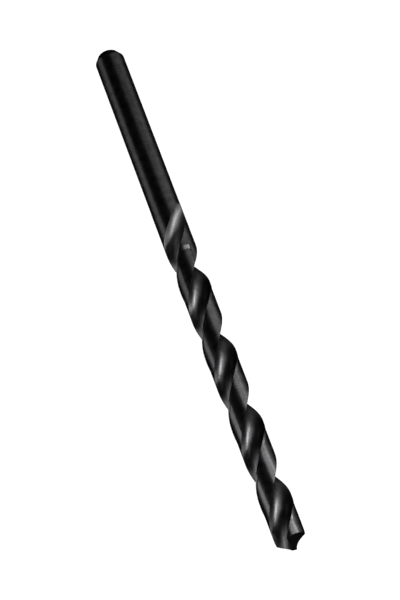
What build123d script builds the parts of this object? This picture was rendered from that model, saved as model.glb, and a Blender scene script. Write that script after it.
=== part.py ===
from build123d import *
import math
import os

# Twist drill bit: one bar of high speed steel, ground all over and blackened.
# It is made here in the order of the workshop: turned blank, ground point, two
# helical flutes, then the body clearance that leaves a narrow margin along each
# flute.  While it is made, the drill stands on its point: the turning axis is Z
# and Z = 0 is the chisel edge.  At the end it is laid on its side.
# Lengths are in millimetres and angles in degrees.

# ---- driving dimensions ----
DRILL_DIAMETER = 4.7625      # 3/16 inch, over the fluted body
SHANK_DIAMETER = 4.73        # the shank is ground a little under the body's size
OVERALL_LENGTH = 88.6        # nominally 3 1/2 inches
FLUTE_LENGTH = 58.0          # point to the far end of the flute run-out
BODY_LENGTH = 58.2           # point to the end of the full diameter
SHANK_START = 59.0           # point to the start of the plain shank
FLUTE_LEAD = 24.07           # length of one full turn of a flute
POINT_ANGLE = 118.0
LAND_ANGLE = 82.5            # leading edge to heel, seen along the axis

WEB_AT_POINT = 0.84          # thickness of the core between the flutes
WEB_GROWTH = 0.0008          # growth of the core per millimetre towards the shank

RAKE_HOOK = 13.7             # hook of the rake face under the leading edge
RAKE_PULL = (0.43, 0.37)     # stiffness of the rake face's curve, in radii
HEEL_LEAN = 7.2              # lean of the heel wall off the radius, into the flute
HEEL_PULL = (0.43, 0.26)     # stiffness of the heel wall's curve, in radii
FLOOR_ANGLE = -49.7          # deepest line of a flute, from the leading edge
CURVE_OVERRUN = 0.25         # share by which both curves are drawn out of the bar
RIM_REACH = 1.7              # outer side of the flute cutter, in radii

RUN_OUT_LENGTH = 6.9         # stretch over which a flute rises to the surface
RUN_OUT_RISE = 0.74          # the way it rises there, in radii
RUN_OUT_SWING = 0.40         # the way it swings over there, in radii
RUN_OUT_SWING_SHARE = 0.57   # share of the run-out in which it swings over
RUN_OUT_SECTIONS = 8

MARGIN_WIDTH = 0.34
CLEARANCE_DEPTH = 0.09       # step from the margin down to the rest of the land
CLEARANCE_LENGTH = 49.6      # point to the start of the clearance's run-out
CLEARANCE_FADE = 0.8         # length of that run-out
CLEARANCE_TIP_ANGLE = 34.0   # leading edge to the far side of the clearance at its end
CLEARANCE_OVERLAP = 12.0     # reach of the clearance cut past the heel
CLEARANCE_REACH = (0.8, 1.3) # inner and outer side of the clearance cut, in radii
NARROWING_SECTIONS = 4
FLARE_REACH = 1.01           # radius at which the clearance fades out, in radii

LIP_RELIEF = 10.5            # relief of the flank right behind the cutting lip
FLANK_CONE_HALF_ANGLE = 40.0
FLANK_CONE_OFFSET = 2.0      # cone apex to the drill axis, in radii
FLANK_CONE_HEIGHT = 1.6      # in overall lengths, so that it holds the whole drill

CUTTER_START = -0.5          # the flute and clearance cutters start below the point
STATION_TURN = 40.0          # turn from one section of a cutter to the next

SHANK_CHAMFER_LENGTH = 1.25
SHANK_CHAMFER_DEPTH = 0.8
SHANK_EDGE_ROUNDING = 0.4

REST_TURN = 75.0             # turn about its own axis in which the drill lies

# ---- derived dimensions ----
radius = DRILL_DIAMETER / 2
shank_radius = SHANK_DIAMETER / 2
clearance_radius = radius - CLEARANCE_DEPTH
half_point = math.radians(POINT_ANGLE / 2)
margin_angle = math.degrees(MARGIN_WIDTH / radius)
degrees_per_mm = 360.0 / FLUTE_LEAD
heel_angle = LAND_ANGLE - 180.0
run_out_start = FLUTE_LENGTH - RUN_OUT_LENGTH
clearance_end = CLEARANCE_LENGTH + CLEARANCE_FADE


def polar(distance, angle):
    """A point in the plane across the drill, from its polar coordinates."""
    turn = math.radians(angle)
    return Vector(distance * math.cos(turn), distance * math.sin(turn))


def half_web(z):
    """Half the core's thickness at height z above the point."""
    return (WEB_AT_POINT + WEB_GROWTH * max(z, 0.0)) / 2


# ---- turned blank ----
def turned_blank():
    """Round bar, stepped down to the shank, which ends in a rounded chamfer."""
    top = OVERALL_LENGTH
    profile = Polyline(
        (0, 0),
        (radius, 0),
        (radius, BODY_LENGTH),
        (shank_radius, SHANK_START),
        (shank_radius, top - SHANK_CHAMFER_LENGTH),
        (shank_radius - SHANK_CHAMFER_DEPTH, top),
        (0, top),
        close=True,
    )
    half_section = make_face(profile)
    corners = half_section.vertices()
    shank_corners = corners.filter_by(lambda corner: corner.X > 0 and corner.Y > SHANK_START)
    half_section = fillet(shank_corners, SHANK_EDGE_ROUNDING)
    return revolve(Plane.XZ * half_section, Axis.Z)


# ---- ground point ----
def flank_cone():
    """The cone on which one flank is ground.

    The cutting lip is one of its straight lines, at half the core's thickness
    from the drill axis.  The cone leans so that the flank falls away behind it.
    """
    lip = Vector(math.sin(half_point), 0, math.cos(half_point))
    behind = Vector(0, 1, math.tan(math.radians(LIP_RELIEF))).normalized()
    inward = lip.cross(behind)
    spread = math.radians(FLANK_CONE_HALF_ANGLE)
    axis = lip * math.cos(spread) + inward * math.sin(spread)
    offset = FLANK_CONE_OFFSET * radius
    apex = Vector(-offset, -WEB_AT_POINT / 2, -offset / math.tan(half_point))
    height = FLANK_CONE_HEIGHT * OVERALL_LENGTH
    cone = Cone(0, height * math.tan(spread), height, align=(Align.CENTER, Align.CENTER, Align.MIN))
    return Plane(origin=apex, z_dir=axis) * cone


def ground_flanks(blank):
    """What both flank grinds leave: the drill lies inside the two cones.

    The cones are lowered so that the chisel edge, where they cross, is at Z = 0,
    and turned so that each lip ends where the leading edge of a land does.
    """
    cone = flank_cone()
    flanks = cone & (Rot(0, 0, 180) * cone)
    chisel_height = (blank & flanks).bounding_box().min.Z
    lip_end = math.sqrt(radius**2 - (WEB_AT_POINT / 2) ** 2)
    lip_end_height = lip_end / math.tan(half_point) - chisel_height
    lip_end_angle = -math.degrees(math.asin(WEB_AT_POINT / DRILL_DIAMETER))
    turn = lip_end_height * degrees_per_mm - lip_end_angle
    return Rot(0, 0, turn) * Pos(0, 0, -chisel_height) * flanks


# ---- flutes ----
def between(first, second, share):
    """Point on the line from first to second, at a share of the way."""
    return first + (second - first) * share


def blossom(points, a, b, c):
    """Control point of a cubic curve for the three parameters a, b and c."""
    first = [between(points[i], points[i + 1], a) for i in range(3)]
    second = [between(first[i], first[i + 1], b) for i in range(2)]
    return between(second[0], second[1], c)


def cubic(points, start, end):
    """Cubic curve on four control points, cut or drawn out to start and end."""
    return Bezier(
        blossom(points, start, start, start),
        blossom(points, start, start, end),
        blossom(points, start, end, end),
        blossom(points, end, end, end),
    )


def flute_outline(z):
    """Outline across one flute, with the land's leading edge on the +X axis."""
    edge = polar(radius, 0.0)
    floor = polar(half_web(z), FLOOR_ANGLE)
    heel = polar(clearance_radius, heel_angle)
    edge_pull = polar(RAKE_PULL[0] * radius, 180.0 - RAKE_HOOK)
    floor_way = polar(radius, FLOOR_ANGLE - 90.0)
    heel_pull = polar(HEEL_PULL[1] * radius, heel_angle + HEEL_LEAN)

    rake_points = [edge, edge + edge_pull, floor - floor_way * RAKE_PULL[1], floor]
    heel_points = [floor, floor + floor_way * HEEL_PULL[0], heel - heel_pull, heel]
    rake_face = cubic(rake_points, -CURVE_OVERRUN, 1.0)
    heel_wall = cubic(heel_points, 0.0, 1.0 + CURVE_OVERRUN)
    rim_middle = polar(RIM_REACH * radius, heel_angle / 2)
    rim = ThreePointArc(heel_wall @ 1, rim_middle, rake_face @ 0)
    return rake_face + heel_wall + rim


def flute_section(z):
    """The flute's outline at height z, turned to its place on the helix.

    In the run-out it swings over to the leading edge's side, then out of the bar.
    """
    risen = max(z - run_out_start, 0.0) / RUN_OUT_LENGTH
    swung = min(risen / RUN_OUT_SWING_SHARE, 1.0)
    swing = RUN_OUT_SWING * radius * swung**2 * (3 - 2 * swung)
    rise = RUN_OUT_RISE * radius * risen**2
    turn = z * degrees_per_mm
    return Pos(0, 0, z) * Rot(0, 0, turn) * Pos(swing, -rise) * make_face(flute_outline(z))


def stations(start, end, count):
    """Evenly spaced heights after start, up to and with end."""
    return [start + (end - start) * (i + 1) / count for i in range(count)]


def flute_cutter():
    """Solid of what one flute removes from the blank."""
    turns = (run_out_start - CUTTER_START) * degrees_per_mm
    plain = stations(CUTTER_START, run_out_start, math.ceil(turns / STATION_TURN))
    rising = stations(run_out_start, FLUTE_LENGTH, RUN_OUT_SECTIONS)
    return loft([flute_section(z) for z in [CUTTER_START] + plain + rising])


# ---- body clearance ----
def clearance_sector(z):
    """The stretch of a land that is ground down at height z, as a sector of a ring.

    It leaves the margin beside the leading edge.  At the shank end it narrows
    along the drill's own axis.
    """
    widening = (clearance_end - z) * degrees_per_mm
    far_angle = min(LAND_ANGLE + CLEARANCE_OVERLAP, CLEARANCE_TIP_ANGLE + widening)
    middle_angle = (margin_angle + far_angle) / 2
    low, high = [reach * radius for reach in CLEARANCE_REACH]
    near_side = Line(polar(low, margin_angle), polar(high, margin_angle))
    far_side = Line(polar(low, far_angle), polar(high, far_angle))
    inner = ThreePointArc(near_side @ 0, polar(low, middle_angle), far_side @ 0)
    outer = ThreePointArc(near_side @ 1, polar(high, middle_angle), far_side @ 1)
    outline = near_side + outer + far_side + inner
    return Pos(0, 0, z) * Rot(0, 0, z * degrees_per_mm) * make_face(outline)


def clearance_cutter():
    """Solid of what the clearance grind takes off one land.

    What it leaves is a cylinder, which flares out to the full diameter at its end.
    """
    full_angle = LAND_ANGLE + CLEARANCE_OVERLAP - CLEARANCE_TIP_ANGLE
    narrowing_start = clearance_end - full_angle / degrees_per_mm
    turns = (narrowing_start - CUTTER_START) * degrees_per_mm
    plain = stations(CUTTER_START, narrowing_start, math.ceil(turns / STATION_TURN))
    narrowing = stations(narrowing_start, clearance_end, NARROWING_SECTIONS)
    sectors = loft([clearance_sector(z) for z in [CUTTER_START] + plain + narrowing])

    flare = Polyline(
        (0, 2 * CUTTER_START),
        (clearance_radius, 2 * CUTTER_START),
        (clearance_radius, CLEARANCE_LENGTH),
        (FLARE_REACH * radius, clearance_end),
        (0, clearance_end),
        close=True,
    )
    return sectors - revolve(Plane.XZ * make_face(flare), Axis.Z)


# ---- the drill, in the order of its making ----
blank = turned_blank()
flanks = ground_flanks(blank)
flute = flute_cutter()
clearance = clearance_cutter()
drill = blank & flanks
drill = drill - flute - Rot(0, 0, 180) * flute
drill = drill - clearance - Rot(0, 0, 180) * clearance

# It lies on its side, with its middle over the origin and its point towards -Y.
os.makedirs("parts", exist_ok=True)
lying = Rot(-90, 0, 0) * Rot(0, 0, REST_TURN) * Pos(0, 0, -OVERALL_LENGTH / 2) * drill
export_step(Pos(0, 0, radius) * lying, "parts/twist_drill.step")
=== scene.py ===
import math

import bmesh
import bpy
from mathutils import Matrix, Vector


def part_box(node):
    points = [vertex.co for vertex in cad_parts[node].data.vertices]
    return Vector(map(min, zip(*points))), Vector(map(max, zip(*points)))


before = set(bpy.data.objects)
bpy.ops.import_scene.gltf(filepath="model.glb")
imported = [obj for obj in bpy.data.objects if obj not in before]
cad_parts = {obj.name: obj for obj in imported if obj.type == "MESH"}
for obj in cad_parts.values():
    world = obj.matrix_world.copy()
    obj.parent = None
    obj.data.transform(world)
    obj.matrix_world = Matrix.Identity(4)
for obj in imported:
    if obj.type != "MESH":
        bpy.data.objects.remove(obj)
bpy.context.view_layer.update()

scene = bpy.context.scene
scene.view_settings.view_transform = "Standard"

# ---- camera: it looks down on the drill from the side of its point ----
# The drill lies along Y with its point towards -Y. The camera is turned about the drill's
# axis, leans towards the point, and is rolled so that the drill runs down the picture.
MM = 0.001
low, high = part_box("twist_drill")
drill_radius = (high.x - low.x) / 2
point_y = low.y

CAMERA_TURN = math.radians(15.5)
CAMERA_LEAN = math.radians(26.52)
CAMERA_ROLL = math.radians(20.7)
CAMERA_DISTANCE = 287.26 * MM
AIM_FROM_POINT = 41.777 * MM
LENS = 115.37
SENSOR = 36.0
NEAREST_SEEN = 10 * MM

sideways = Vector((math.cos(CAMERA_TURN), 0, -math.sin(CAMERA_TURN)))
over_drill = Vector((math.sin(CAMERA_TURN), 0, math.cos(CAMERA_TURN)))
to_point = Vector((0, -1, 0))
to_camera = to_point * math.sin(CAMERA_LEAN) + over_drill * math.cos(CAMERA_LEAN)
down_drill = to_point * math.cos(CAMERA_LEAN) - over_drill * math.sin(CAMERA_LEAN)
picture_right = sideways * math.cos(CAMERA_ROLL) + down_drill * math.sin(CAMERA_ROLL)
picture_up = sideways * math.sin(CAMERA_ROLL) - down_drill * math.cos(CAMERA_ROLL)
aim = Vector((0, point_y + AIM_FROM_POINT, drill_radius))

camera_data = bpy.data.cameras.new("camera")
camera_data.lens = LENS
camera_data.sensor_width = SENSOR
camera_data.clip_start = NEAREST_SEEN
camera = bpy.data.objects.new("camera", camera_data)
axes = Matrix((picture_right, picture_up, to_camera)).transposed()
camera.matrix_world = Matrix.Translation(aim + to_camera * CAMERA_DISTANCE) @ axes.to_4x4()
scene.collection.objects.link(camera)
scene.camera = camera

# ---- floor: a pale sheet that sweeps up into the backdrop all round ----
# A wide, matt sheet. It shows as white to the camera and in the metal, and part of its
# brightness is lamp light, so the drill's shadow stays.
FLOOR_RADIUS = 1.6
SWEEP_RADIUS = 0.5
SWEEP_STEPS = 12
SWEEP_CLIMB = math.radians(80)
FLOOR_SIDES = 96
FLOOR_OWN_WHITE = 0.86
FLOOR_COLOUR = 0.25


def swept_floor():
    """Mesh of the floor: a disc whose rim curves up."""
    shape = bmesh.new()
    rim = [(FLOOR_RADIUS, 0.0)]
    for step in range(1, SWEEP_STEPS + 1):
        climb = SWEEP_CLIMB * step / SWEEP_STEPS
        outwards = FLOOR_RADIUS + SWEEP_RADIUS * math.sin(climb)
        rim.append((outwards, SWEEP_RADIUS * (1 - math.cos(climb))))
    turns = [2 * math.pi * side / FLOOR_SIDES for side in range(FLOOR_SIDES)]
    rings = []
    for radius, height in rim:
        corners = [(radius * math.cos(turn), radius * math.sin(turn), height) for turn in turns]
        rings.append([shape.verts.new(corner) for corner in corners])
    shape.faces.new(rings[0])
    for inner, outer in zip(rings, rings[1:]):
        for side in range(FLOOR_SIDES):
            after = (side + 1) % FLOOR_SIDES
            shape.faces.new((inner[side], inner[after], outer[after], outer[side])).smooth = True
    mesh = bpy.data.meshes.new("floor")
    shape.to_mesh(mesh)
    shape.free()
    return mesh


def put(tree, kind, **settings):
    """Adds a node to a material's tree and sets its properties and inputs by name."""
    node = tree.nodes.new(kind)
    for name, value in settings.items():
        if name in node.inputs:
            node.inputs[name].default_value = value
        else:
            setattr(node, name, value)
    return node


def paper_white():
    """Matt sheet that shows a white of its own to the camera and in glossy metal."""
    material = bpy.data.materials.new("paper_white")
    material.use_nodes = True
    tree = material.node_tree
    tree.nodes.clear()
    path = put(tree, "ShaderNodeLightPath")
    seen = put(tree, "ShaderNodeMath", operation="MAXIMUM")
    tree.links.new(path.outputs["Is Camera Ray"], seen.inputs[0])
    tree.links.new(path.outputs["Is Glossy Ray"], seen.inputs[1])
    shown = put(tree, "ShaderNodeMath", operation="MAXIMUM")
    tree.links.new(seen.outputs[0], shown.inputs[0])
    tree.links.new(path.outputs["Is Transmission Ray"], shown.inputs[1])
    strength = put(tree, "ShaderNodeMath", operation="MULTIPLY")
    strength.inputs[1].default_value = FLOOR_OWN_WHITE
    tree.links.new(shown.outputs[0], strength.inputs[0])
    glow = put(tree, "ShaderNodeEmission")
    tree.links.new(strength.outputs[0], glow.inputs["Strength"])
    matt = put(tree, "ShaderNodeBsdfDiffuse", Color=(FLOOR_COLOUR, FLOOR_COLOUR, FLOOR_COLOUR, 1))
    both = put(tree, "ShaderNodeAddShader")
    tree.links.new(matt.outputs[0], both.inputs[0])
    tree.links.new(glow.outputs[0], both.inputs[1])
    output = put(tree, "ShaderNodeOutputMaterial")
    tree.links.new(both.outputs[0], output.inputs["Surface"])
    return material


floor = bpy.data.objects.new("floor", swept_floor())
floor.data.materials.append(paper_white())
scene.collection.objects.link(floor)

# ---- light: soft boxes on both sides of the drill, and a dim room ----
# Boxes on the right light the walls of the flutes and the right of the bar, and weaker
# ones on the left give the second pale band. Overhead is dim, so the middle stays black.
ROOM_LEVEL = 0.003
LAMP_DISTANCE = 0.6

room = bpy.data.worlds.new("room")
room.use_nodes = True
room.node_tree.nodes["Background"].inputs["Color"].default_value = (1, 1, 1, 1)
room.node_tree.nodes["Background"].inputs["Strength"].default_value = ROOM_LEVEL
scene.world = room


def soft_box(name, bearing, height, level, size):
    """A square lamp. Its bearing is in degrees from +Y towards +X, its height in degrees above
    the floor, and a white sheet that faces it shows at its level."""
    turn = math.radians(bearing)
    rise = math.radians(height)
    way = Vector((math.sin(turn) * math.cos(rise), math.cos(turn) * math.cos(rise), math.sin(rise)))
    lamp = bpy.data.lights.new(name, "AREA")
    lamp.size = size
    lamp.energy = level * math.pi**2 * LAMP_DISTANCE**2
    box = bpy.data.objects.new(name, lamp)
    box.location = way * LAMP_DISTANCE
    box.rotation_euler = way.to_track_quat("Z", "Y").to_euler()
    box.visible_camera = False
    scene.collection.objects.link(box)


soft_box("box_right", bearing=97, height=10, level=1.75, size=0.22)
soft_box("box_front_right", bearing=134, height=15, level=1.7, size=0.18)
soft_box("box_back_right", bearing=80, height=8, level=0.5, size=0.18)
soft_box("box_high_right", bearing=80, height=33, level=0.50, size=0.28)
soft_box("box_far_right", bearing=55, height=28, level=0.05, size=0.34)
soft_box("box_high_left", bearing=-113, height=50, level=0.55, size=0.20)
soft_box("box_front_left", bearing=-151, height=58, level=0.18, size=0.18)
soft_box("box_left", bearing=-58, height=20, level=0.18, size=0.36)
soft_box("box_near_left", bearing=-80, height=25, level=0.36, size=0.30)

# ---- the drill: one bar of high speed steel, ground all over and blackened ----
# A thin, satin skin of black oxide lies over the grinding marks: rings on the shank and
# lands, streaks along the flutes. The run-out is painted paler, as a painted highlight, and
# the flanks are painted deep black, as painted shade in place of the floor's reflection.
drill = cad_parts["twist_drill"]
FLUTE_LEAD = 24.07 * MM
SHANK_START_Y = point_y + 58.6 * MM
SHANK_START_BLEND = 0.4 * MM
RUN_OUT_Y = point_y + 50.5 * MM
RUN_OUT_BLEND = 3 * MM
RIM_INSIDE = 0.93 * drill_radius
RIM_OUTSIDE = 0.95 * drill_radius
ROUND_FROM = 0.97           # how far a face looks straight out from the drill's axis
ROUND_FULL = 0.99
FLANK_FROM = 0.68           # how far a face looks along the drill towards its point
FLANK_FULL = 0.74

BAR_OXIDE = (0.034, 0.034, 0.035)
FLUTE_OXIDE = (0.032, 0.032, 0.033)
# paler: a painted highlight on the run-out, which brightens the lamp's reflection there
RUN_OUT_OXIDE_WITH_PAINTED_HIGHLIGHT = (0.044, 0.044, 0.045)
# near black: painted shade on the flanks, so that they don't show the floor's reflection
FLANK_OXIDE_WITH_PAINTED_SHADE = (0.003, 0.003, 0.0032)
BARE_EDGE = (0.16, 0.16, 0.165)
BAR_ROUGHNESS = 0.28
FLUTE_ROUGHNESS = 0.36
FLANK_ROUGHNESS = 0.42
RUN_OUT_ROUGHENING = 0.10
MOTTLE_ROUGHNESS = 0.12

RINGS_PER_MM = 4.0
STREAKS_PER_RADIAN = 9.0    # across the flute
STREAKS_PER_MM = 0.12       # along it, where they are drawn out
MOTTLE_SCALE = 900.0
MOTTLE_DETAIL = 5.0
SPECKLE_SCALE = 5200.0
SPECKLE_DETAIL = 2.0
MARKS_TONE = 0.35
MOTTLE_TONE = 0.45
SPECKLE_TONE = 0.18
TONE_GAIN = 1.4
TONE_BASE = 0.31
MARKS_RELIEF = 0.0015 * MM
SPECKLE_RELIEF = 0.25
EDGE_WIDTH = 0.05 * MM
EDGE_SAMPLES = 6
EDGE_FROM = 0.02            # how far the rounded normal turns away from the face's own
EDGE_FULL = 0.25
WEAR_FROM = 0.42            # the mottle at which wear starts, and where it is full
WEAR_FULL = 0.62
WEAR_SHARE = 0.5


def calc(tree, operation, first, second=0.0, third=0.0):
    """One sum on numbers or sockets."""
    node = put(tree, "ShaderNodeMath", operation=operation)
    for slot, value in zip(node.inputs, (first, second, third)):
        if isinstance(value, bpy.types.NodeSocket):
            tree.links.new(value, slot)
        else:
            slot.default_value = value
    return node.outputs[0]


def step_up(tree, value, start, end):
    """0 below start, 1 above end, and a smooth rise between them."""
    node = put(tree, "ShaderNodeMapRange", interpolation_type="SMOOTHSTEP")
    tree.links.new(value, node.inputs["Value"])
    node.inputs["From Min"].default_value = start
    node.inputs["From Max"].default_value = end
    return node.outputs["Result"]


def mixed(tree, share, first, second):
    """Colour between first and second, by share."""
    node = put(tree, "ShaderNodeMix", data_type="RGBA")
    tree.links.new(share, node.inputs["Factor"])
    # a colour mix has its two colours on inputs 6 and 7, and the result on output 2
    for slot, value in ((node.inputs[6], first), (node.inputs[7], second)):
        if isinstance(value, bpy.types.NodeSocket):
            tree.links.new(value, slot)
        else:
            slot.default_value = (*value, 1)
    return node.outputs[2]


def grain(tree, place, scale=1.0, detail=3.0):
    """Noise between 0 and 1 at a place, with a number of lumps to the unit."""
    node = put(tree, "ShaderNodeTexNoise", Scale=scale, Detail=detail)
    tree.links.new(place, node.inputs["Vector"])
    return node.outputs["Fac"]


def joined(tree, x, y, z):
    """A vector from three numbers."""
    node = put(tree, "ShaderNodeCombineXYZ")
    for slot, value in zip(node.inputs, (x, y, z)):
        tree.links.new(value, slot)
    return node.outputs[0]


def black_oxide_and_painted_light():
    """Blackened steel: one finish each for the bar and the flutes, with a painted highlight on the
    run-out and painted shade on the flanks.
    """
    material = bpy.data.materials.new("black_oxide_and_painted_light")
    material.use_nodes = True
    tree = material.node_tree
    surface = tree.nodes["Principled BSDF"]

    # place round the drill's own axis, in metres and radians
    place = put(tree, "ShaderNodeTexCoord").outputs["Object"]
    parts = put(tree, "ShaderNodeSeparateXYZ")
    tree.links.new(place, parts.inputs[0])
    x, y = parts.outputs["X"], parts.outputs["Y"]
    above = calc(tree, "SUBTRACT", parts.outputs["Z"], drill_radius)
    squares = calc(tree, "ADD", calc(tree, "MULTIPLY", x, x), calc(tree, "MULTIPLY", above, above))
    distance = calc(tree, "SQRT", squares)
    turn = calc(tree, "ARCTAN2", above, x)
    normal = put(tree, "ShaderNodeSeparateXYZ")
    tree.links.new(put(tree, "ShaderNodeNewGeometry").outputs["Normal"], normal.inputs[0])
    across = calc(tree, "MULTIPLY", normal.outputs["X"], x)
    upward = calc(tree, "MULTIPLY", normal.outputs["Z"], above)
    outward = calc(tree, "DIVIDE", calc(tree, "ADD", across, upward), distance)

    # where each finish is, and where the highlight and the shade are painted
    near_rim = step_up(tree, distance, RIM_INSIDE, RIM_OUTSIDE)
    on_round = calc(tree, "MULTIPLY", step_up(tree, outward, ROUND_FROM, ROUND_FULL), near_rim)
    on_shank = step_up(tree, y, SHANK_START_Y, SHANK_START_Y + SHANK_START_BLEND)
    on_bar = calc(tree, "MAXIMUM", on_round, on_shank)
    in_flute = calc(tree, "SUBTRACT", 1.0, on_bar)
    past_run_out = step_up(tree, y, RUN_OUT_Y, RUN_OUT_Y + RUN_OUT_BLEND)
    in_run_out = calc(tree, "MULTIPLY", in_flute, past_run_out)
    # the flanks, which face the point, get the painted shade
    facing_point = calc(tree, "MULTIPLY", normal.outputs["Y"], -1.0)
    on_flank = step_up(tree, facing_point, FLANK_FROM, FLANK_FULL)

    # grinding marks
    y_mm = calc(tree, "MULTIPLY", y, 1 / MM)
    ring_y = calc(tree, "MULTIPLY", y_mm, RINGS_PER_MM)
    ring_place = joined(tree, ring_y, calc(tree, "COSINE", turn), calc(tree, "SINE", turn))
    rings = grain(tree, ring_place)
    helix = calc(tree, "ADD", turn, calc(tree, "MULTIPLY", y, 2 * math.pi / FLUTE_LEAD))
    streak_x = calc(tree, "MULTIPLY", calc(tree, "COSINE", helix), STREAKS_PER_RADIAN)
    streak_z = calc(tree, "MULTIPLY", calc(tree, "SINE", helix), STREAKS_PER_RADIAN)
    streak_y = calc(tree, "MULTIPLY", y_mm, STREAKS_PER_MM)
    streaks = grain(tree, joined(tree, streak_x, streak_z, streak_y))
    mottle = grain(tree, place, MOTTLE_SCALE, MOTTLE_DETAIL)
    speckle = grain(tree, place, SPECKLE_SCALE, SPECKLE_DETAIL)

    # colour
    colour = mixed(tree, in_flute, BAR_OXIDE, FLUTE_OXIDE)
    # painted highlight: the run-out is made paler
    colour = mixed(tree, in_run_out, colour, RUN_OUT_OXIDE_WITH_PAINTED_HIGHLIGHT)
    # painted shade: the flanks are made near black
    colour = mixed(tree, on_flank, colour, FLANK_OXIDE_WITH_PAINTED_SHADE)
    marks = mixed(tree, in_flute, rings, streaks)
    marks_tone = calc(tree, "MULTIPLY", marks, MARKS_TONE)
    tone = calc(tree, "ADD", marks_tone, calc(tree, "MULTIPLY", mottle, MOTTLE_TONE))
    tone = calc(tree, "ADD", tone, calc(tree, "MULTIPLY", speckle, SPECKLE_TONE))
    tone = calc(tree, "MULTIPLY_ADD", tone, TONE_GAIN, TONE_BASE)
    shaded = put(tree, "ShaderNodeVectorMath", operation="SCALE")
    tree.links.new(colour, shaded.inputs[0])
    tree.links.new(tone, shaded.inputs["Scale"])

    # the skin is thin on the sharp edges, where bare steel begins to show
    rounded = put(tree, "ShaderNodeBevel", Radius=EDGE_WIDTH, samples=EDGE_SAMPLES)
    turned = put(tree, "ShaderNodeVectorMath", operation="DOT_PRODUCT")
    tree.links.new(rounded.outputs[0], turned.inputs[0])
    tree.links.new(put(tree, "ShaderNodeNewGeometry").outputs["Normal"], turned.inputs[1])
    turned_away = calc(tree, "SUBTRACT", 1.0, turned.outputs["Value"])
    edge = step_up(tree, turned_away, EDGE_FROM, EDGE_FULL)
    worn = calc(tree, "MULTIPLY", edge, step_up(tree, mottle, WEAR_FROM, WEAR_FULL))
    colour = mixed(tree, calc(tree, "MULTIPLY", worn, WEAR_SHARE), shaded.outputs[0], BARE_EDGE)
    tree.links.new(colour, surface.inputs["Base Color"])

    # roughness
    sheen = calc(tree, "MULTIPLY_ADD", in_flute, FLUTE_ROUGHNESS - BAR_ROUGHNESS, BAR_ROUGHNESS)
    sheen = calc(tree, "MULTIPLY_ADD", in_run_out, RUN_OUT_ROUGHENING, sheen)
    sheen = calc(tree, "MULTIPLY_ADD", on_flank, FLANK_ROUGHNESS - FLUTE_ROUGHNESS, sheen)
    uneven = calc(tree, "MULTIPLY", calc(tree, "SUBTRACT", mottle, 0.5), MOTTLE_ROUGHNESS)
    sheen = calc(tree, "ADD", sheen, uneven)
    tree.links.new(sheen, surface.inputs["Roughness"])

    # relief of the marks
    relief = put(tree, "ShaderNodeBump", Strength=1.0, Distance=MARKS_RELIEF)
    height = calc(tree, "ADD", marks, calc(tree, "MULTIPLY", speckle, SPECKLE_RELIEF))
    tree.links.new(height, relief.inputs["Height"])
    tree.links.new(relief.outputs[0], surface.inputs["Normal"])

    surface.inputs["Metallic"].default_value = 1.0
    surface.inputs["Specular Tint"].default_value = (0, 0, 0, 1)
    return material


drill.data.materials.clear()
drill.data.materials.append(black_oxide_and_painted_light())
